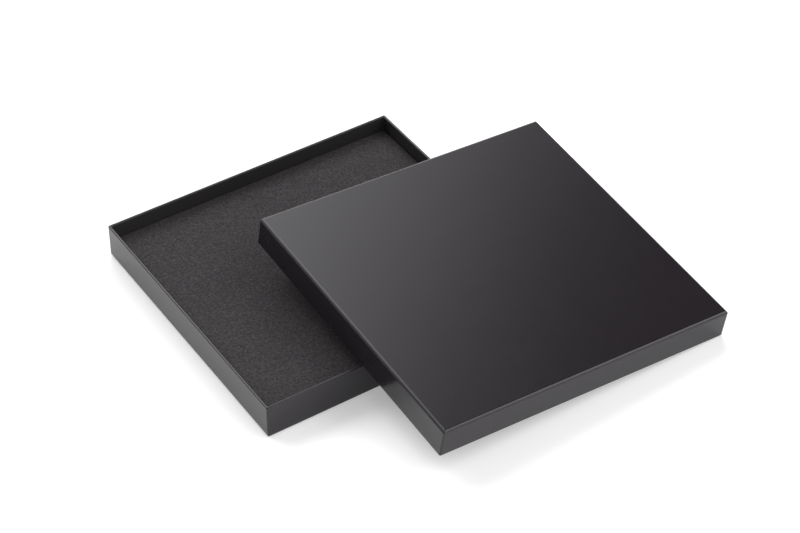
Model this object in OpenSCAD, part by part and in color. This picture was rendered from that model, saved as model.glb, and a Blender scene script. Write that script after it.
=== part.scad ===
// Rigid gift box: a shallow paper-wrapped board tray with a foam pad in it, and its loose lid.
// The lid is off. It lies open side down across the tray's near right corner: one skirt rests on
// the tray's front rim, one on the right rim, and its lowest corner on the table.
// Lengths are in millimetres. +Z is up, +X is to the right along the tray's longer side, and -Y is
// the front. The origin is the centre of the tray's underside.

/* [Base tray] */
// Outside length of the base, along X
base_length = 172; // [120:1:240]
// Outside width of the base, along Y
base_width = 161.5; // [110:0.5:230]
// Outside height of the base
base_height = 20; // [16:0.5:26]

/* [Lid] */
// Outside height of the lid
lid_height = 16.8; // [14:0.1:24]
// Gap on each side between the base and the lid's skirt when the box is closed
lid_clearance = 0.2; // [0.1:0.05:0.6]

/* [Board and paper] */
// Thickness of the grey board in every panel
board_thickness = 1.2; // [1:0.1:2]
// Thickness of the wrapping paper
paper_thickness = 0.15; // [0.1:0.01:0.25]
// Outside radius of the folds round the closed side of the base and the lid
fold_radius = 1.6; // [1:0.1:2.4]
// Thickness of the lining paper inside the base and the lid
liner_thickness = 0.15; // [0.1:0.01:0.25]
// Gap between the lining paper's edges and the walls
liner_margin = 0.5; // [0.2:0.1:3]
// Thickness of the kraft tape that holds the upright corners together
stay_thickness = 0.1; // [0.06:0.01:0.2]
// Length of each arm of a corner tape, from the corner along the wall
stay_arm = 14; // [6:1:30]

/* [Foam pad] */
// Thickness of the foam pad
foam_thickness = 10; // [5:0.5:13]
// Gap between the foam pad and the walls, on each side
foam_clearance = 0.3; // [0.2:0.05:1]
// Gap under the foam pad
foam_seat = 0.1; // [0.05:0.05:0.3]

/* [Where the lid leans] */
// Distance along X from the base's front left corner to the lid's
lid_shift_x = 54.7; // [35:0.1:75]
// Distance along Y from the base's front left corner to the lid's
lid_shift_y = -66.7; // [-85:0.1:-50]
// Turn of the lid seen from above, in degrees
lid_yaw = 1; // [-3:0.1:3]
// Gap left under the lid at its three rests
lid_seat = 0.2; // [0.1:0.05:0.5]

/* [Hidden] */
$fn = 48;

// Which way a wall or corner lies from the middle
LEFT = -1;
RIGHT = 1;
FRONT = -1;
BACK = 1;

// A finished wall is board with paper on both faces
wall_thickness = board_thickness + 2 * paper_thickness;
// Inside face of the closed side's board, above the outside face of the paper
panel_top = paper_thickness + board_thickness;
// The rims are round over their whole thickness, and the upright corners as round as the rims
rim_radius = wall_thickness / 2;

// Outside sizes of the two trays that make the box. The lid goes over the base.
base_size = [base_length, base_width, base_height];
lid_overhang = lid_clearance + wall_thickness;
lid_size = [base_length + 2 * lid_overhang, base_width + 2 * lid_overhang, lid_height];

foam_bottom = panel_top + liner_thickness + foam_seat;

BOARD_COLOUR = "#8f8b84";
WRAP_COLOUR = "#2b2b2d";
LINER_COLOUR = "#1f1f21";
STAY_COLOUR = "#a98a63";
FOAM_COLOUR = "#403e3d";

// The lid's slope. Seen from above, in axes turned with the lid from its front left corner, the
// middle of its rim crosses the middle of the base's front rim at front_rest and of the right rim at
// right_rest, and is over the table at corner_rest. A plane through the three gives the slope, which
// moves the three a little in turn, so the answer is worked out again from the last one until it
// settles. A lean is [pitch about Y, roll about X, height of the front left corner].
function next_lean(lean) =
    let (pitch = lean[0])
    let (roll = lean[1])
    let (front_rest_x = rim_radius * (cos(pitch) + sin(pitch) * cos(roll))
        + (rim_radius - lid_shift_y) * tan(roll) * sin(pitch))
    let (front_rest_y = (rim_radius - lid_shift_y - front_rest_x * sin(lid_yaw)) / cos(lid_yaw))
    let (right_rest_y = (lid_size.y - rim_radius) * cos(roll) - rim_radius * sin(roll))
    let (right_reach = base_length - rim_radius - lid_shift_x)
    let (right_rest_x = (right_reach + right_rest_y * sin(lid_yaw)) / cos(lid_yaw))
    let (corner_rest_x = (lid_size.x - rim_radius) * cos(pitch) + rim_radius * sin(pitch))
    let (corner_rest_y = rim_radius * (cos(roll) - sin(roll)))
    let (level_run = (right_rest_x - front_rest_x) / (right_rest_y - front_rest_y))
    let (run = corner_rest_x - front_rest_x + (front_rest_y - corner_rest_y) * level_run)
    let (fall_along_x = base_height / run)
    let (rise_along_y = fall_along_x * level_run)
    let (new_pitch = atan(fall_along_x))
    let (new_roll = atan(rise_along_y * cos(new_pitch)))
    let (rim_height = rim_radius * (1 - 1 / (cos(new_pitch) * cos(new_roll))))
    let (rise_from_table = fall_along_x * corner_rest_x - rise_along_y * corner_rest_y)
    [new_pitch, new_roll, lid_seat + rim_height + rise_from_table];

lid_lean = next_lean(next_lean(next_lean(next_lean([0, 0, 0]))));
lid_turn = [lid_lean[1], lid_lean[0], lid_yaw];
lid_corner = [lid_shift_x - base_length / 2, lid_shift_y - base_width / 2, lid_lean[2]];

// A block that stands on z = 0, centred on the Z axis
module block(length, width, height) {
    translate([-length / 2, -width / 2, 0])
        cube([length, width, height]);
}

// The same with its upright corners rounded
module rounded_block(length, width, height, radius) {
    block(length - 2 * radius, width, height);
    block(length, width - 2 * radius, height);
    for (x = [LEFT, RIGHT], y = [FRONT, BACK])
        translate([x * (length / 2 - radius), y * (width / 2 - radius), 0])
            cylinder(r = radius, h = height);
}

// The same with its lower left and right edges rounded instead
module folded_block(length, width, height, radius) {
    block(length - 2 * radius, width, height);
    translate([0, 0, radius])
        block(length, width, height - radius);
    for (x = [LEFT, RIGHT])
        translate([x * (length / 2 - radius), width / 2, radius])
            rotate([90, 0, 0])
                cylinder(r = radius, h = width);
}

// A round rod laid round a rectangle, centred on the origin
module rod_frame(length, width, radius) {
    for (y = [FRONT, BACK])
        translate([-length / 2, y * width / 2, 0])
            rotate([0, 90, 0])
                cylinder(r = radius, h = length);
    for (x = [LEFT, RIGHT])
        translate([x * length / 2, width / 2, 0])
            rotate([90, 0, 0])
                cylinder(r = radius, h = width);
    for (x = [LEFT, RIGHT], y = [FRONT, BACK])
        translate([x * length / 2, y * width / 2, 0])
            sphere(r = radius);
}

// A whole tray, with the outside and the walls' inside faces set in by inset
module tray(size, inset) {
    length = size.x - 2 * inset;
    width = size.y - 2 * inset;
    height = size.z - rim_radius - inset;
    fold = fold_radius - inset;
    wall = wall_thickness - 2 * inset;
    difference() {
        translate([0, 0, inset])
            intersection() {
                rounded_block(length, width, height, wall / 2);
                folded_block(length, width, height, fold);
                rotate([0, 0, 90])
                    folded_block(width, length, height, fold);
            }
        translate([0, 0, panel_top])
            block(length - 2 * wall, width - 2 * wall, size.z);
    }
    translate([0, 0, size.z - rim_radius])
        rod_frame(size.x - wall_thickness, size.y - wall_thickness, wall / 2);
}

// All the boards of a tray, which its paper covers
module tray_board(size) {
    tray(size, paper_thickness);
}

// The shallow step pressed into the boards at an upright corner, open towards the outside
module corner_step(size, x_side, y_side) {
    inset = paper_thickness + stay_thickness;
    difference() {
        translate([
            x_side * (size.x / 2 - paper_thickness),
            y_side * (size.y / 2 - paper_thickness),
            panel_top
        ])
            block(2 * stay_arm, 2 * stay_arm, size.z - rim_radius - panel_top);
        rounded_block(size.x - 2 * inset, size.y - 2 * inset, size.z, rim_radius - inset);
    }
}

module corner_steps(size) {
    for (x = [LEFT, RIGHT], y = [FRONT, BACK])
        corner_step(size, x, y);
}

// A strip of tape bent round two walls' upright corner, flush with the boards in its step
module corner_stay(size, x_side, y_side) {
    intersection() {
        tray_board(size);
        corner_step(size, x_side, y_side);
    }
}

// The tray's closed side, under all four walls
module panel_board(size) {
    intersection() {
        tray_board(size);
        block(size.x, size.y, panel_top);
    }
}

// A front or back wall, as long as the tray
module long_wall_board(size, y_side) {
    difference() {
        intersection() {
            tray_board(size);
            translate([
                0,
                y_side * (size.y / 2 - paper_thickness - board_thickness / 2),
                panel_top
            ])
                block(size.x, board_thickness, size.z);
        }
        corner_steps(size);
    }
}

// A left or right wall, between the front and back walls
module short_wall_board(size, x_side) {
    difference() {
        intersection() {
            tray_board(size);
            translate([
                x_side * (size.x / 2 - paper_thickness - board_thickness / 2),
                0,
                panel_top
            ])
                block(board_thickness, size.y - 2 * panel_top, size.z);
        }
        corner_steps(size);
    }
}

// One sheet over the closed side and all four walls, turned in over the rim and down inside
module wrap_paper(size) {
    difference() {
        tray(size, 0);
        tray_board(size);
    }
}

// A sheet laid on the inside of the closed side
module liner_paper(size) {
    inset = 2 * (wall_thickness + liner_margin);
    translate([0, 0, panel_top])
        block(size.x - inset, size.y - inset, liner_thickness);
}

// Turns a tray over and lays it where the lid leans
module lid_place() {
    translate(lid_corner)
        rotate(lid_turn)
            translate([lid_size.x / 2, lid_size.y / 2, lid_size.z])
                mirror([0, 0, 1])
                    children();
}

module base_bottom_board() {
    color(BOARD_COLOUR) panel_board(base_size);
}

module base_front_wall_board() {
    color(BOARD_COLOUR) long_wall_board(base_size, FRONT);
}

module base_back_wall_board() {
    color(BOARD_COLOUR) long_wall_board(base_size, BACK);
}

module base_left_wall_board() {
    color(BOARD_COLOUR) short_wall_board(base_size, LEFT);
}

module base_right_wall_board() {
    color(BOARD_COLOUR) short_wall_board(base_size, RIGHT);
}

module base_front_left_corner_stay() {
    color(STAY_COLOUR) corner_stay(base_size, LEFT, FRONT);
}

module base_front_right_corner_stay() {
    color(STAY_COLOUR) corner_stay(base_size, RIGHT, FRONT);
}

module base_back_left_corner_stay() {
    color(STAY_COLOUR) corner_stay(base_size, LEFT, BACK);
}

module base_back_right_corner_stay() {
    color(STAY_COLOUR) corner_stay(base_size, RIGHT, BACK);
}

module base_wrap_paper() {
    color(WRAP_COLOUR) wrap_paper(base_size);
}

module base_liner_paper() {
    color(LINER_COLOUR) liner_paper(base_size);
}

// A flat sheet of foam, cut to drop in between the base's walls
module foam_pad() {
    inset = 2 * (wall_thickness + foam_clearance);
    color(FOAM_COLOUR)
        translate([0, 0, foam_bottom])
            block(base_size.x - inset, base_size.y - inset, foam_thickness);
}

module lid_top_board() {
    color(BOARD_COLOUR) lid_place() panel_board(lid_size);
}

module lid_front_wall_board() {
    color(BOARD_COLOUR) lid_place() long_wall_board(lid_size, FRONT);
}

module lid_back_wall_board() {
    color(BOARD_COLOUR) lid_place() long_wall_board(lid_size, BACK);
}

module lid_left_wall_board() {
    color(BOARD_COLOUR) lid_place() short_wall_board(lid_size, LEFT);
}

module lid_right_wall_board() {
    color(BOARD_COLOUR) lid_place() short_wall_board(lid_size, RIGHT);
}

module lid_front_left_corner_stay() {
    color(STAY_COLOUR) lid_place() corner_stay(lid_size, LEFT, FRONT);
}

module lid_front_right_corner_stay() {
    color(STAY_COLOUR) lid_place() corner_stay(lid_size, RIGHT, FRONT);
}

module lid_back_left_corner_stay() {
    color(STAY_COLOUR) lid_place() corner_stay(lid_size, LEFT, BACK);
}

module lid_back_right_corner_stay() {
    color(STAY_COLOUR) lid_place() corner_stay(lid_size, RIGHT, BACK);
}

module lid_wrap_paper() {
    color(WRAP_COLOUR) lid_place() wrap_paper(lid_size);
}

module lid_liner_paper() {
    color(LINER_COLOUR) lid_place() liner_paper(lid_size);
}

base_bottom_board();
base_front_wall_board();
base_back_wall_board();
base_left_wall_board();
base_right_wall_board();
base_front_left_corner_stay();
base_front_right_corner_stay();
base_back_left_corner_stay();
base_back_right_corner_stay();
base_wrap_paper();
base_liner_paper();
foam_pad();
lid_top_board();
lid_front_wall_board();
lid_back_wall_board();
lid_left_wall_board();
lid_right_wall_board();
lid_front_left_corner_stay();
lid_front_right_corner_stay();
lid_back_left_corner_stay();
lid_back_right_corner_stay();
lid_wrap_paper();
lid_liner_paper();
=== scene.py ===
import math
from collections import namedtuple

import bmesh
import bpy
from bpy.props import FloatProperty, FloatVectorProperty, IntProperty, PointerProperty
from bpy.types import Operator, Panel, PropertyGroup
from mathutils import Matrix, Vector, noise


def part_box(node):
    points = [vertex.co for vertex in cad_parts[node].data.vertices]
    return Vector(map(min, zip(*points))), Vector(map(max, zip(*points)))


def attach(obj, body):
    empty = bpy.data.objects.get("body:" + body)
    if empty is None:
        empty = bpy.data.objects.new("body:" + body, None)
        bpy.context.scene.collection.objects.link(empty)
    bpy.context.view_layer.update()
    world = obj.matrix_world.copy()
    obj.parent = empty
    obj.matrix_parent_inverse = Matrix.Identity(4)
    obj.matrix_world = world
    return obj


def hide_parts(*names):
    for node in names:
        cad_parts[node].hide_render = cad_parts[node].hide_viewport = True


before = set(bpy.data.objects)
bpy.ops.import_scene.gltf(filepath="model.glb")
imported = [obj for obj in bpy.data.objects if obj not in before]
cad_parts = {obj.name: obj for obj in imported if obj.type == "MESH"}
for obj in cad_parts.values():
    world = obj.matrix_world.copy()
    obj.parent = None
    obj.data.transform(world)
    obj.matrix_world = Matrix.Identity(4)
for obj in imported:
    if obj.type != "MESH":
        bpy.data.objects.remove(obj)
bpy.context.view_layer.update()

bl_info = {
    "name": "Rigid Gift Box",
    "version": (1, 0, 0),
    "blender": (4, 5, 0),
    "location": "3D View > Sidebar > Gift Box",
    "description": "Dresses a shallow two-piece board box in satin black paper with a foam pad",
    "category": "Object",
}

MM = 0.001
WHITE = (1, 1, 1, 1)


# Settings

class GIFTBOX_PG_paper(PropertyGroup):
    """The wrapping paper's folds and finish"""

    fold_radius: FloatProperty(
        name="Fold radius", description="Outside radius of the folds round the closed side",
        default=1.6 * MM, min=0.5 * MM, max=2.4 * MM, precision=5, unit="LENGTH")
    corner_radius: FloatProperty(
        name="Corner radius", description="Outside radius of the upright corners",
        default=0.95 * MM, min=0.3 * MM, max=1.0 * MM, precision=5, unit="LENGTH")
    tight_radius: FloatProperty(
        name="Tight corner radius", description="Radius of the corners at the folds and the rim",
        default=0.35 * MM, min=0.1 * MM, max=0.6 * MM, precision=5, unit="LENGTH")
    inner_radius: FloatProperty(
        name="Inner corner radius", description="Radius of the corners inside the walls",
        default=1.2 * MM, min=0.3 * MM, max=2 * MM, precision=5, unit="LENGTH")
    segments: IntProperty(
        name="Segments", description="Faces across each rounded fold and corner",
        default=10, min=3, max=24)
    colour: FloatVectorProperty(
        name="Paper colour", description="Colour of the dyed paper",
        default=(0.0134, 0.0109, 0.0138), size=3, min=0, max=1, subtype="COLOR")
    roughness: FloatProperty(
        name="Sheen roughness", description="How widely the satin surface spreads a reflection",
        default=0.17, min=0.1, max=1, subtype="FACTOR")
    gloss: FloatProperty(
        name="Gloss index", description="Refractive index of the satin surface",
        default=1.42, min=1, max=2)
    # Painted light: the turned-in paper is the same black sheet, painted paler here to stand in
    # for the light on the inner walls.
    inner_painted_light_colour: FloatVectorProperty(
        name="Inner colour", description="Colour of the turned-in paper inside the walls",
        default=(0.0298, 0.0278, 0.0292), size=3, min=0, max=1, subtype="COLOR")
    # Partly rubbed paper, partly a painted highlight: this paler colour on the folds and rims
    # stands in for the light they catch.
    wear_and_highlight_colour: FloatVectorProperty(
        name="Wear colour", description="Colour of the paper where a fold is rubbed",
        default=(0.05, 0.049, 0.05), size=3, min=0, max=1, subtype="COLOR")


class GIFTBOX_PG_foam(PropertyGroup):
    """The foam pad's cut and cells"""

    grid_spacing: FloatProperty(
        name="Grid spacing", description="Distance between the points of the pad's top face",
        default=0.7 * MM, min=0.5 * MM, max=4 * MM, precision=5, unit="LENGTH")
    pit_depth: FloatProperty(
        name="Pit depth", description="Depth of the open cells on the cut faces",
        default=0.16 * MM, min=0, max=0.5 * MM, precision=5, unit="LENGTH")
    waviness: FloatProperty(
        name="Waviness", description="Height of the long waves over the pad's top face",
        default=0.2 * MM, min=0, max=1 * MM, precision=5, unit="LENGTH")
    edge_softness: FloatProperty(
        name="Edge softness", description="How far the pad's top edges are rounded over",
        default=0.4 * MM, min=0.1 * MM, max=2 * MM, precision=5, unit="LENGTH")
    # Painted shade: the darker strip along the pad's sides stands in for the shade the walls
    # cast on it; it is not wear.
    edge_shade: FloatProperty(
        name="Edge shade", description="Width of the darker, worn strip along the pad's sides",
        default=7 * MM, min=0.5 * MM, max=20 * MM, precision=5, unit="LENGTH")
    corner_radius: FloatProperty(
        name="Corner radius", description="Radius of the pad's upright corners",
        default=1.1 * MM, min=0.2 * MM, max=4 * MM, precision=5, unit="LENGTH")
    colour: FloatVectorProperty(
        name="Foam colour", description="Colour of the foam's cell walls",
        default=(0.0525, 0.048, 0.0512), size=3, min=0, max=1, subtype="COLOR")
    # Painted shade: the open cells are painted darker, standing in for the shade deep inside
    # them.
    pore_shade_colour: FloatVectorProperty(
        name="Pore colour", description="Colour deep in the foam's open cells",
        default=(0.028, 0.0255, 0.0274), size=3, min=0, max=1, subtype="COLOR")
    fill: FloatProperty(
        name="Fill", description="How full the pad is, from slack to tight",
        default=0.9, min=0, max=1, subtype="FACTOR")


class GIFTBOX_PG_core(PropertyGroup):
    """What is inside the wrapping: board, tape and lining"""

    board_colour: FloatVectorProperty(
        name="Board colour", description="Colour of the grey board",
        default=(0.28, 0.26, 0.235), size=3, min=0, max=1, subtype="COLOR")
    tape_colour: FloatVectorProperty(
        name="Tape colour", description="Colour of the corner tape",
        default=(0.4, 0.26, 0.13), size=3, min=0, max=1, subtype="COLOR")
    lining_colour: FloatVectorProperty(
        name="Lining colour", description="Colour of the lining paper",
        default=(0.02, 0.02, 0.021), size=3, min=0, max=1, subtype="COLOR")


class GIFTBOX_PG_stage(PropertyGroup):
    """The floor, the studio and the camera"""

    floor_size: FloatProperty(
        name="Floor size", description="Side of the square floor",
        default=8, min=1, max=50, unit="LENGTH")
    floor_colour: FloatVectorProperty(
        name="Floor colour", description="Colour of the pale floor",
        default=(0.82, 0.82, 0.82), size=3, min=0, max=1, subtype="COLOR")
    floor_glow: FloatProperty(
        name="Floor glow", description="Light that the backlit floor gives by itself",
        default=0.29, min=0, max=2)
    key_strength: FloatProperty(
        name="Key light", description="Brightness of the large softbox behind the box",
        default=4.1, min=0, max=20)
    glint_strength: FloatProperty(
        name="Glint light", description="Brightness of the low strip behind the box",
        default=2.2, min=0, max=20)
    front_strength: FloatProperty(
        name="Front light", description="Brightness of the softbox at the front right",
        default=1.8, min=0, max=20)
    kick_strength: FloatProperty(
        name="Kick light", description="Brightness of the small, high softbox at the right",
        default=2.5, min=0, max=20)
    crown_strength: FloatProperty(
        name="Overhead light", description="Brightness of the softbox overhead",
        default=0.6, min=0, max=20)
    fill_strength: FloatProperty(
        name="Fill light", description="Brightness of the dim walls behind the camera and left",
        default=0.65, min=0, max=20)
    target: FloatVectorProperty(
        name="Camera target", description="Point on the floor at the middle of the picture",
        default=(36.074 * MM, -10.874 * MM, 0), size=3, unit="LENGTH", subtype="XYZ")
    distance: FloatProperty(
        name="Camera distance", description="Distance from the camera to its target",
        default=1231.54 * MM, min=0.1, max=20, unit="LENGTH")
    azimuth: FloatProperty(
        name="Camera azimuth", description="Turn of the camera from the front towards the right",
        default=math.radians(-33.3046), subtype="ANGLE", unit="ROTATION")
    elevation: FloatProperty(
        name="Camera elevation", description="Angle of the camera above the floor",
        default=math.radians(41.4681), subtype="ANGLE", unit="ROTATION")
    focal_length: FloatProperty(
        name="Focal length", description="Focal length in millimetres on a 36 mm sensor",
        default=105.876, min=10, max=400, unit="CAMERA")


# Shaders

class Wire:
    """An output socket. Arithmetic on wires adds the Math nodes that do it."""

    def __init__(self, graph, socket):
        self.graph = graph
        self.socket = socket

    def maths(self, operation, *values):
        inputs = dict(enumerate(values))
        return self.graph.add("ShaderNodeMath", {"operation": operation}, inputs)

    def __add__(self, other):
        return self.maths("ADD", self, other)

    def __radd__(self, other):
        return self.maths("ADD", other, self)

    def __sub__(self, other):
        return self.maths("SUBTRACT", self, other)

    def __rsub__(self, other):
        return self.maths("SUBTRACT", other, self)

    def __mul__(self, other):
        return self.maths("MULTIPLY", self, other)

    def __rmul__(self, other):
        return self.maths("MULTIPLY", other, self)


class Graph:
    """The emptied node tree of a material or a world."""

    def __init__(self, owner):
        owner.use_nodes = True
        self.tree = owner.node_tree
        self.tree.nodes.clear()

    def add(self, kind, settings=None, inputs=None, output=0):
        """Adds a node, sets it up first, then its sockets, and returns one of its outputs."""
        node = self.tree.nodes.new(kind)
        for name, value in (settings or {}).items():
            setattr(node, name, value)
        for key, value in (inputs or {}).items():
            if isinstance(value, Wire):
                self.tree.links.new(value.socket, node.inputs[key])
            else:
                node.inputs[key].default_value = value
        return Wire(self, node.outputs[output]) if len(node.outputs) else None

    def ramp(self, value, low, high, bottom=0, top=1):
        """Goes smoothly from bottom to top while value goes from low to high."""
        limits = {"From Min": low, "From Max": high, "To Min": bottom, "To Max": top}
        settings = {"interpolation_type": "SMOOTHSTEP"}
        return self.add("ShaderNodeMapRange", settings, {"Value": value, **limits})

    def blend(self, share, first, second):
        """Goes from the first colour to the second."""
        inputs = {0: share, 6: first, 7: second}
        settings = {"data_type": "RGBA", "clamp_factor": True}
        return self.add("ShaderNodeMix", settings, inputs, output=2)

    def place(self):
        """The piece's own coordinates, in metres."""
        return self.add("ShaderNodeTexCoord", output="Object")

    def attribute(self, name):
        """A number that the piece's mesh carries at each point."""
        return self.add("ShaderNodeAttribute", {"attribute_name": name}, output="Fac")

    def clouds(self, size, detail, roughness=0.5, stretch=(1, 1, 1)):
        """Soft noise from 0 to 1 whose blots are about that size."""
        scale = [share / size for share in stretch]
        place = self.add("ShaderNodeMapping", {}, {"Vector": self.place(), "Scale": scale})
        inputs = {"Vector": place, "Scale": 1, "Detail": detail, "Roughness": roughness}
        return self.add("ShaderNodeTexNoise", {}, inputs)

    def cells(self, size):
        """Distance to the nearest of many scattered points, about that far apart."""
        inputs = {"Vector": self.place(), "Scale": 1 / size}
        return self.add("ShaderNodeTexVoronoi", {}, inputs)

    def relief(self, height, depth):
        """A bumped normal. Height runs from 0 to 1 over that depth in metres."""
        return self.add("ShaderNodeBump", {}, {"Height": height, "Distance": depth})

    def surface(self, **sockets):
        """Ends a material with one Principled shader."""
        inputs = {name.replace("_", " "): value for name, value in sockets.items()}
        shader = self.add("ShaderNodeBsdfPrincipled", {}, inputs)
        self.add("ShaderNodeOutputMaterial", {}, {"Surface": shader})


def opaque(colour, tint=1):
    """A colour as a socket takes it, darkened or made paler by the tint."""
    return (*[tint * part for part in colour], 1)


def swing(pattern, amount):
    """Turns noise from 0 to 1 into as much up as down, by that amount in all."""
    return (pattern - 0.5) * amount


# Not wrapping_paper: the model's own material already has that name in the file.
SATIN_PAPER = "satin_paper"


def satin_paper(paper):
    """Satin black paper: a fine tooth, faint clouds in its sheen, and a paler colour on its
    folds and rims that is partly rubbed paper and partly a painted highlight. The turned-in
    paper is painted paler, as painted light on the inner walls. It is made for the first sheet,
    and the second one shares it."""
    if SATIN_PAPER in bpy.data.materials:
        return bpy.data.materials[SATIN_PAPER]
    material = bpy.data.materials.new(SATIN_PAPER)
    graph = Graph(material)
    clouds = graph.clouds(size=45 * MM, detail=3)
    mottle = graph.clouds(size=6 * MM, detail=4)
    tooth = graph.clouds(size=0.22 * MM, detail=3, roughness=0.6)
    scuffs = graph.ramp(graph.clouds(size=1.4 * MM, detail=5, roughness=0.7), low=0.5, high=0.75)
    # Painted highlight and wear: a paler, rougher colour on the folds and rims, partly rubbed
    # paper and partly standing in for the light they catch.
    worn_and_highlit = graph.attribute("wear") * scuffs
    outside = graph.blend(mottle * 0.35, opaque(paper.colour), opaque(paper.colour, tint=1.25))
    # Painted light: the turned-in paper inside the walls is painted paler than the outside of
    # the same sheet.
    tone = graph.blend(graph.attribute("inside"), outside, opaque(paper.inner_painted_light_colour))
    colour = graph.blend(worn_and_highlit * 0.7, tone, opaque(paper.wear_and_highlight_colour))
    roughness = paper.roughness + swing(clouds, 0.05) + swing(mottle, 0.03) + worn_and_highlit * 0.1
    graph.surface(Base_Color=colour, Roughness=roughness, IOR=paper.gloss,
                  Normal=graph.relief(tooth, depth=0.001 * MM))
    return material


def foam_material(foam):
    """Open-celled foam: pale cell walls, pores painted dark as shade in the open cells, a
    painted shade band along the sides, faint stains and bright specks.
    """
    material = bpy.data.materials.new("foam")
    graph = Graph(material)
    fine = graph.cells(size=1.0 * MM)
    coarse = graph.cells(size=2.2 * MM)
    grain = graph.clouds(size=1.3 * MM, detail=3, roughness=0.6)
    stain = graph.clouds(size=22 * MM, detail=4, roughness=0.6)
    specks = graph.ramp(graph.cells(size=2.1 * MM), low=0.1, high=0.3, bottom=1, top=0)
    pores = graph.ramp(fine * 0.5 + coarse * 0.2 + grain * 0.6, low=0.4, high=0.9)
    walls = graph.blend(stain, opaque(foam.colour, tint=0.85), opaque(foam.colour, tint=1.15))
    # Painted shade deep in the open cells.
    cut = graph.blend(pores, opaque(foam.pore_shade_colour), walls)
    bright = graph.blend(specks * 0.7, cut, opaque(foam.colour, tint=1.55))
    # Painted shade along the pad's sides, blended towards the pore colour.
    shade = graph.attribute("edge") * (grain * 0.6 + 0.3)
    colour = graph.blend(shade, bright, opaque(foam.pore_shade_colour))
    height = pores * 0.7 + grain * 0.3
    graph.surface(Base_Color=colour, Roughness=0.95, Specular_IOR_Level=0.2,
                  Normal=graph.relief(height, depth=0.3 * MM))
    return material


def grey_board(core):
    """Recycled grey board: pressed fibres, dark flecks and paler patches."""
    material = bpy.data.materials.new("grey_board")
    graph = Graph(material)
    fibres = graph.clouds(size=0.9 * MM, detail=5, roughness=0.7, stretch=(0.35, 1, 1))
    patches = graph.clouds(size=9 * MM, detail=3)
    flecks = graph.ramp(graph.cells(size=2.1 * MM), low=0.12, high=0.2)
    tone = graph.blend(fibres * 0.6 + patches * 0.4, opaque(core.board_colour, tint=0.72),
                       opaque(core.board_colour, tint=1.2))
    colour = graph.blend(flecks, opaque(core.board_colour, tint=0.45), tone)
    graph.surface(Base_Color=colour, Roughness=fibres * 0.1 + 0.82,
                  Normal=graph.relief(fibres, depth=0.04 * MM))
    return material


def kraft_tape(core):
    """Brown kraft tape: long fibres and a slight gloss from its gum."""
    material = bpy.data.materials.new("kraft_tape")
    graph = Graph(material)
    fibres = graph.clouds(size=0.7 * MM, detail=5, roughness=0.65, stretch=(1, 1, 0.15))
    colour = graph.blend(fibres, opaque(core.tape_colour, tint=0.7),
                         opaque(core.tape_colour, tint=1.2))
    graph.surface(Base_Color=colour, Roughness=fibres * 0.15 + 0.55,
                  Normal=graph.relief(fibres, depth=0.02 * MM))
    return material


def lining_paper(core):
    """Plain black lining paper, duller than the wrapping."""
    material = bpy.data.materials.new("lining_paper")
    graph = Graph(material)
    fibres = graph.clouds(size=0.35 * MM, detail=4, roughness=0.65)
    clouds = graph.clouds(size=12 * MM, detail=3)
    colour = graph.blend(fibres * 0.5 + clouds * 0.5, opaque(core.lining_colour, tint=0.8),
                         opaque(core.lining_colour, tint=1.3))
    graph.surface(Base_Color=colour, Roughness=clouds * 0.1 + 0.68,
                  Normal=graph.relief(fibres, depth=0.015 * MM))
    return material


def floor_material(stage):
    """A plain pale floor that is lit from below as well, as a light table is."""
    material = bpy.data.materials.new("floor")
    graph = Graph(material)
    graph.surface(Base_Color=opaque(stage.floor_colour), Roughness=0.9, Specular_IOR_Level=0,
                  Emission_Color=WHITE, Emission_Strength=stage.floor_glow)
    return material


# Meshes

def new_object(name, bm):
    """Makes an object at the origin from a finished bmesh."""
    mesh = bpy.data.meshes.new(name)
    bm.to_mesh(mesh)
    bm.free()
    made = bpy.data.objects.new(name, mesh)
    bpy.context.scene.collection.objects.link(made)
    return made


def extrude_ring(bm, edges):
    """Extrudes a closed loop of edges and gives the new loop's points and edges."""
    made = bmesh.ops.extrude_edge_only(bm, edges=edges)["geom"]
    return ([part for part in made if isinstance(part, bmesh.types.BMVert)],
            [part for part in made if isinstance(part, bmesh.types.BMEdge)])


def cover(word, material):
    """Gives each node of the model that has the word in its name another material."""
    for name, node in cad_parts.items():
        if word in name:
            for slot in node.material_slots:
                slot.material = material


# The trays that the paper is folded over. A tray is measured standing on its closed side, and
# its place moves it to where it lies. The panel is the board of its closed side, and the margin
# is the strip of paper between the wall and the lining.

Tray = namedtuple("Tray", "length width height panel_top margin paper wall place")


def paper_and_wall():
    """Thickness of the paper, and of a wall with paper on both faces, as the model has them."""
    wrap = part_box("base_wrap_paper")
    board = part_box("base_left_wall_board")
    paper = board[0].x - wrap[0].x
    return paper, board[1].x - board[0].x + 2 * paper


def base_tray():
    """The base's tray, standing on its closed side."""
    low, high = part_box("base_wrap_paper")
    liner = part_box("base_liner_paper")[0]
    paper, wall = paper_and_wall()
    margin = liner.x - low.x - wall
    place = Matrix.Translation(((low.x + high.x) / 2, (low.y + high.y) / 2, low.z))
    return Tray(*(high - low), liner.z - low.z, margin, paper, wall, place)


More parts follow.
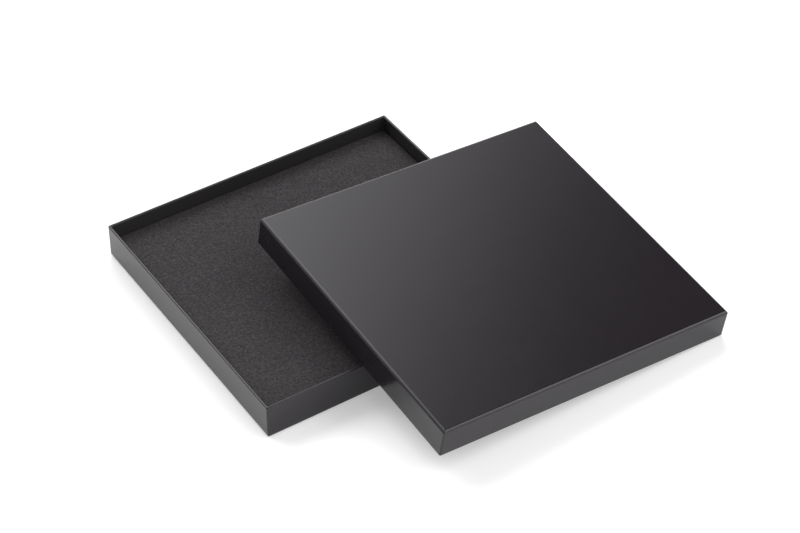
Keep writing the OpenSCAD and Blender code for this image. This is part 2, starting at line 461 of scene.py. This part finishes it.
def lid_tray():
    """The lid's tray, turned over and leaning. Its lining gives the directions of its sides."""
    normals = [face.normal.copy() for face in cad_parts["lid_liner_paper"].data.polygons]
    right = max(normals, key=lambda normal: normal.x)
    back = max(normals, key=lambda normal: normal.y)
    axes = Matrix((right, -back, back.cross(right))).transposed()
    wrap = [vertex.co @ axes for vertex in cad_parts["lid_wrap_paper"].data.vertices]
    liner = [vertex.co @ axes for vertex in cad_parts["lid_liner_paper"].data.vertices]
    low = Vector(min(point[axis] for point in wrap) for axis in range(3))
    high = Vector(max(point[axis] for point in wrap) for axis in range(3))
    panel_top = min(point.z for point in liner) - low.z
    paper, wall = paper_and_wall()
    margin = min(point.x for point in liner) - low.x - wall
    middle = Vector(((low.x + high.x) / 2, (low.y + high.y) / 2, low.z))
    place = axes.to_4x4() @ Matrix.Translation(middle)
    return Tray(*(high - low), panel_top, margin, paper, wall, place)


# The wrapping sheets. A step of a sheet's way lies so far inside its tray's outline and so high
# above the closed side. Its corner is the radius of the four corners there, its wear share says
# how much it is rubbed and how much painted highlight it carries, and inside is 1 on the
# turned-in paper, which is painted paler as painted light.

Step = namedtuple("Step", "inset height corner wear inside")
SIDES = (-1, 1)
SQUARE_CORNER = 0.05 * MM


def sheet_steps(tray, paper):
    """The sheet's way from the edge of the closed side, round the fold, up the wall, over the
    rim, down inside it and along the panel to the lining."""
    fold = paper.fold_radius
    rim = tray.wall / 2
    tight = paper.tight_radius
    loose = paper.corner_radius
    steps = []
    for number in range(paper.segments + 1):
        share = number / paper.segments
        turn = share * math.pi / 2
        inset = fold * (1 - math.sin(turn))
        height = fold * (1 - math.cos(turn))
        corner = tight + (loose - tight) * share ** 2
        steps.append(Step(inset, height, corner, wear=math.sin(2 * turn), inside=0))
    spring = tray.height - rim
    for number in range(2 * paper.segments + 1):
        share = number / (2 * paper.segments)
        turn = share * math.pi
        inset = rim * (1 - math.cos(turn))
        height = spring + rim * math.sin(turn)
        inside = max(0, 2 * share - 1)
        corner = (tight + (loose - tight) * max(0, 1 - 2 * share)
                  + (paper.inner_radius - tight) * inside)
        steps.append(Step(inset, height, corner, wear=math.sin(turn), inside=inside))
    foot = tray.panel_top + tray.paper
    steps.append(Step(tray.wall, foot, paper.inner_radius, wear=0, inside=1))
    steps.append(Step(tray.wall + tray.margin, foot, SQUARE_CORNER, wear=0, inside=1))
    return steps


def next_ring(bm, edges, tray, old, new, layers):
    """Extrudes the sheet's edge by one step, keeping each of its four corners round."""
    points, made_edges = extrude_ring(bm, edges)
    growth = new.corner / old.corner
    inward = old.inset - new.inset
    for x_side in SIDES:
        for y_side in SIDES:
            group = [v for v in points if v.co.x * x_side > 0 and v.co.y * y_side > 0]
            corner = Vector((x_side * (tray.length / 2 - old.inset),
                             y_side * (tray.width / 2 - old.inset), old.height))
            move = (x_side * inward, y_side * inward, new.height - old.height)
            bmesh.ops.scale(bm, vec=(growth, growth, 1), space=Matrix.Translation(-corner),
                            verts=group)
            bmesh.ops.translate(bm, vec=move, verts=group)
    for point in points:
        for name, layer in layers.items():
            point[layer] = getattr(new, name)
    return made_edges


def wrapping_sheet(name, tray, paper):
    """One sheet folded over a tray, turned in over the rim and down to the lining."""
    bm = bmesh.new()
    layers = {name: bm.verts.layers.float.new(name) for name in ("wear", "inside")}
    steps = sheet_steps(tray, paper)
    first = steps[0]
    bmesh.ops.create_grid(bm, x_segments=1, y_segments=1, size=0.5)
    flat = (tray.length - 2 * first.inset, tray.width - 2 * first.inset, 1)
    bmesh.ops.scale(bm, vec=flat, verts=bm.verts)
    bmesh.ops.bevel(bm, geom=bm.verts[:], offset=first.corner, offset_type="OFFSET",
                    segments=paper.segments, profile=0.5, affect="VERTICES", material=-1)
    edges = bm.edges[:]
    for old, new in zip(steps, steps[1:]):
        turns_square = new.height == old.height
        for edge in edges:
            edge.smooth = not turns_square
        edges = next_ring(bm, edges, tray, old, new, layers)
    bmesh.ops.recalc_face_normals(bm, faces=bm.faces)
    closed_side = max(bm.faces, key=lambda face: face.calc_area())
    if closed_side.normal.z > 0:
        bmesh.ops.reverse_faces(bm, faces=bm.faces)
    bmesh.ops.transform(bm, matrix=tray.place, verts=bm.verts)
    sheet = new_object(name, bm)
    sheet.data.shade_smooth()
    thickness = sheet.modifiers.new("Paper thickness", "SOLIDIFY")
    thickness.thickness = tray.paper
    thickness.offset = -1
    thickness.use_even_offset = True
    sheet.modifiers.new("Flat faces", "WEIGHTED_NORMAL").keep_sharp = True
    return sheet


# The foam pad. It stays inside the space of the model's pad by the play, so that its uneven
# faces can't reach a wall.

PLAY = 0.06 * MM
SIDE_RINGS = 8
EDGE_RINGS = 3
PIT_SPACING = 2.2 * MM
PIT_REACH = 0.55
PIT_STEEPNESS = 1.4
GRAIN_SIZE = 1.1 * MM
GRAIN_SHARE = 0.5
GRAIN_OCTAVES = 3
WAVE_LENGTH = 35 * MM


def foam_wave(place, foam):
    """How far a point of the pad's faces lies out of true."""
    pits = noise.voronoi(place / PIT_SPACING)[0][0]
    grain = noise.fractal(place / GRAIN_SIZE, 1, 2, GRAIN_OCTAVES)
    return -foam.pit_depth * (max(0, PIT_REACH - pits) * PIT_STEEPNESS + GRAIN_SHARE * grain)


def round_corner(place, low, high, radius):
    """Moves a point near an upright corner of a box onto the rings of a rounded one."""
    centre = Vector((min(max(place.x, low.x + radius), high.x - radius),
                     min(max(place.y, low.y + radius), high.y - radius), place.z))
    away = place - centre
    if away.x and away.y:
        place = centre + away.normalized() * max(abs(away.x), abs(away.y))
    return place


def side_rings(soft, height):
    """How far out and how far down each ring lies, round the soft top edge and down the side."""
    rings = []
    for number in range(1, EDGE_RINGS + 1):
        turn = math.pi / 2 * number / EDGE_RINGS
        rings.append((soft * math.sin(turn), soft * (1 - math.cos(turn))))
    for number in range(1, SIDE_RINGS + 1):
        rings.append((soft, soft + (height - soft) * number / SIDE_RINGS))
    return rings


def true_slab(foam, low, high):
    """The slab before it is roughened: a fine top face, rings down its sides, one face below."""
    size = high - low
    middle = (low + high) / 2
    margin = PLAY + foam.edge_softness
    bm = bmesh.new()
    bmesh.ops.create_grid(bm, x_segments=round(size.x / foam.grid_spacing),
                          y_segments=round(size.y / foam.grid_spacing), size=0.5)
    bmesh.ops.scale(bm, vec=(size.x - 2 * margin, size.y - 2 * margin, 1), verts=bm.verts)
    top = high.z - foam.waviness - PLAY
    bmesh.ops.translate(bm, vec=(middle.x, middle.y, top), verts=bm.verts)
    edges = [edge for edge in bm.edges if edge.is_boundary]
    old_out, old_down = 0, 0
    for out, down in side_rings(foam.edge_softness, size.z - foam.waviness - 2 * PLAY):
        points, edges = extrude_ring(bm, edges)
        growth = [1 + 2 * (out - old_out) / (side - 2 * (margin - old_out))
                  for side in (size.x, size.y)]
        bmesh.ops.scale(bm, vec=(*growth, 1), space=Matrix.Translation(-middle), verts=points)
        bmesh.ops.translate(bm, vec=(0, 0, old_down - down), verts=points)
        old_out, old_down = out, down
    bmesh.ops.contextual_create(bm, geom=edges)
    bmesh.ops.recalc_face_normals(bm, faces=bm.faces)
    return bm


def foam_slab(foam):
    """A die-cut slab with a fine top face, soft top edges and open cells on every cut face."""
    low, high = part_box("foam_pad")
    size = high - low
    middle = (low + high) / 2
    bm = true_slab(foam, low, high)
    inset = Vector((PLAY, PLAY, 0))
    # Painted shade along the pad's sides, where the walls shade it, kept in the edge attribute.
    edge = bm.verts.layers.float.new("edge")
    for point in bm.verts:
        depth = min(size.x / 2 - abs(point.co.x - middle.x),
                    size.y / 2 - abs(point.co.y - middle.y))
        point[edge] = max(0, 1 - depth / foam.edge_shade) ** 2
        point.co = round_corner(point.co, low + inset, high - inset, foam.corner_radius)
    bm.normal_update()
    for point in bm.verts:
        lies_below = point.co.z < low.z + 2 * PLAY
        if not lies_below:
            wave = foam.waviness * noise.noise(point.co / WAVE_LENGTH) * max(0, point.normal.z)
            point.co += point.normal * foam_wave(point.co, foam)
            point.co.z += wave
    slab = new_object("foam_sheet", bm)
    slab.data.shade_smooth()
    return slab


# The studio. A window of light has its limits and its soft ends in degrees: its azimuths are
# counted from +X towards +Y, and its elevations from the floor up.

Window = namedtuple("Window", "azimuths side_blur elevations end_blur")
KEY = Window((46, 136), 9.5, (26, 63), 4)
GLINT = Window((48, 84), 6, (5, 20), 3)
FRONT = Window((-105, 0), 8, (-20, 58), 5)
KICK = Window((-45, 5), 8, (38, 60), 5)
FILL = Window((-178, -115), 5, (20, 62), 6)
LEFT_FILL = Window((136, 176), 6, (4, 40), 5)
CROWN_START, CROWN_FULL = 61, 71
ROOM_LIGHT = 0.02
SENSOR_WIDTH = 36
NEAR_CLIP = 10 * MM
FLOOR_DROP = 0.05 * MM


def studio_light(stage):
    """Large soft lights all round, as one smooth world. The camera itself sees white."""
    world = bpy.data.worlds.new("studio")
    bpy.context.scene.world = world
    graph = Graph(world)
    direction = graph.add("ShaderNodeTexCoord", output="Generated")
    split = graph.add("ShaderNodeSeparateXYZ", {}, {"Vector": direction})
    x, y, z = (Wire(graph, socket) for socket in split.socket.node.outputs)
    azimuth = y.maths("ARCTAN2", y, x) * math.degrees(1)
    elevation = z.maths("ARCSINE", z) * math.degrees(1)

    def band(angle, limits, blur):
        low, high = limits
        return (graph.ramp(angle, low - blur, low + blur)
                * graph.ramp(angle, high - blur, high + blur, bottom=1, top=0))

    def shine(window):
        return (band(azimuth, window.azimuths, window.side_blur)
                * band(elevation, window.elevations, window.end_blur))

    crown = graph.ramp(elevation, CROWN_START, CROWN_FULL)
    fill = shine(FILL) + shine(LEFT_FILL)
    strength = (shine(KEY) * stage.key_strength + shine(GLINT) * stage.glint_strength
                + shine(FRONT) * stage.front_strength + shine(KICK) * stage.kick_strength
                + crown * stage.crown_strength + fill * stage.fill_strength + ROOM_LIGHT)
    light = graph.add("ShaderNodeBackground", {}, {"Color": WHITE, "Strength": strength})
    backdrop = graph.add("ShaderNodeBackground", {}, {"Color": WHITE, "Strength": 1})
    seen = graph.add("ShaderNodeLightPath", output="Is Camera Ray")
    mixed = graph.add("ShaderNodeMixShader", {}, {0: seen, 1: light, 2: backdrop})
    graph.add("ShaderNodeOutputWorld", {}, {"Surface": mixed})


def camera(stage):
    """The photograph's view."""
    back = Vector((math.sin(stage.azimuth) * math.cos(stage.elevation),
                   -math.cos(stage.azimuth) * math.cos(stage.elevation),
                   math.sin(stage.elevation)))
    data = bpy.data.cameras.new("camera")
    data.lens = stage.focal_length
    data.sensor_width = SENSOR_WIDTH
    data.sensor_fit = "HORIZONTAL"
    data.clip_start = NEAR_CLIP
    made = bpy.data.objects.new("camera", data)
    made.location = Vector(stage.target) + back * stage.distance
    made.rotation_mode = "QUATERNION"
    made.rotation_quaternion = back.to_track_quat("Z", "Y")
    bpy.context.scene.collection.objects.link(made)
    bpy.context.scene.camera = made


# Operators

class GIFTBOX_OT_wrap_base(Operator):
    """Fold the wrapping paper over the base tray"""

    bl_idname = "giftbox.wrap_base"
    bl_label = "Wrap Base"

    def execute(self, context):
        paper = context.scene.giftbox_paper
        sheet = wrapping_sheet("base_wrap", base_tray(), paper)
        sheet.data.materials.append(satin_paper(paper))
        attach(sheet, "base")
        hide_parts("base_wrap_paper")
        return {"FINISHED"}


class GIFTBOX_OT_wrap_lid(Operator):
    """Fold the wrapping paper over the lid"""

    bl_idname = "giftbox.wrap_lid"
    bl_label = "Wrap Lid"

    def execute(self, context):
        paper = context.scene.giftbox_paper
        sheet = wrapping_sheet("lid_wrap", lid_tray(), paper)
        sheet.data.materials.append(satin_paper(paper))
        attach(sheet, "lid")
        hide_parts("lid_wrap_paper")
        return {"FINISHED"}


class GIFTBOX_OT_lay_foam(Operator):
    """Lay the foam pad in the base tray"""

    bl_idname = "giftbox.lay_foam"
    bl_label = "Lay Foam Pad"

    def execute(self, context):
        foam = context.scene.giftbox_foam
        slab = foam_slab(foam)
        slab.data.materials.append(foam_material(foam))
        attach(slab, "foam")
        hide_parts("foam_pad")
        return {"FINISHED"}


class GIFTBOX_OT_cover_boards(Operator):
    """Give every panel and wall board its grey board finish"""

    bl_idname = "giftbox.cover_boards"
    bl_label = "Cover Boards"

    def execute(self, context):
        cover("_board", grey_board(context.scene.giftbox_core))
        return {"FINISHED"}


class GIFTBOX_OT_cover_tapes(Operator):
    """Give the corner tapes their kraft finish"""

    bl_idname = "giftbox.cover_tapes"
    bl_label = "Cover Corner Tapes"

    def execute(self, context):
        cover("_corner_stay", kraft_tape(context.scene.giftbox_core))
        return {"FINISHED"}


class GIFTBOX_OT_cover_linings(Operator):
    """Give the lining papers their dull black finish"""

    bl_idname = "giftbox.cover_linings"
    bl_label = "Cover Linings"

    def execute(self, context):
        cover("_liner_paper", lining_paper(context.scene.giftbox_core))
        return {"FINISHED"}


class GIFTBOX_OT_set_stage(Operator):
    """Lay the floor, light the studio and place the camera"""

    bl_idname = "giftbox.set_stage"
    bl_label = "Set Stage"

    def execute(self, context):
        stage = context.scene.giftbox_stage
        bm = bmesh.new()
        bmesh.ops.create_grid(bm, x_segments=1, y_segments=1, size=stage.floor_size / 2)
        bmesh.ops.translate(bm, vec=(0, 0, -FLOOR_DROP), verts=bm.verts)
        floor = new_object("floor", bm)
        floor.data.materials.append(floor_material(stage))
        studio_light(stage)
        camera(stage)
        context.scene.view_settings.view_transform = "Standard"
        return {"FINISHED"}


STEPS = (
    GIFTBOX_OT_wrap_base, GIFTBOX_OT_wrap_lid, GIFTBOX_OT_lay_foam, GIFTBOX_OT_cover_boards,
    GIFTBOX_OT_cover_tapes, GIFTBOX_OT_cover_linings, GIFTBOX_OT_set_stage,
)
SETTINGS = {
    "giftbox_paper": GIFTBOX_PG_paper,
    "giftbox_foam": GIFTBOX_PG_foam,
    "giftbox_core": GIFTBOX_PG_core,
    "giftbox_stage": GIFTBOX_PG_stage,
}


class GIFTBOX_PT_sidebar(Panel):
    """Lists the box's settings and the steps that make it"""

    bl_idname = "GIFTBOX_PT_sidebar"
    bl_label = "Rigid Gift Box"
    bl_space_type = "VIEW_3D"
    bl_region_type = "UI"
    bl_category = "Gift Box"

    def draw(self, context):
        for name, group in SETTINGS.items():
            box = self.layout.box()
            settings = getattr(context.scene, name)
            for setting in group.__annotations__:
                box.prop(settings, setting)
        for step in STEPS:
            self.layout.operator(step.bl_idname)


CLASSES = (*SETTINGS.values(), *STEPS, GIFTBOX_PT_sidebar)


def register():
    for each in CLASSES:
        bpy.utils.register_class(each)
    for name, group in SETTINGS.items():
        setattr(bpy.types.Scene, name, PointerProperty(type=group))


def unregister():
    for name in SETTINGS:
        delattr(bpy.types.Scene, name)
    for each in reversed(CLASSES):
        bpy.utils.unregister_class(each)


def main():
    register()
    bpy.ops.giftbox.wrap_base()
    bpy.ops.giftbox.wrap_lid()
    bpy.ops.giftbox.lay_foam()
    bpy.ops.giftbox.cover_boards()
    bpy.ops.giftbox.cover_tapes()
    bpy.ops.giftbox.cover_linings()
    bpy.ops.giftbox.set_stage()


if __name__ == "__main__":
    main()
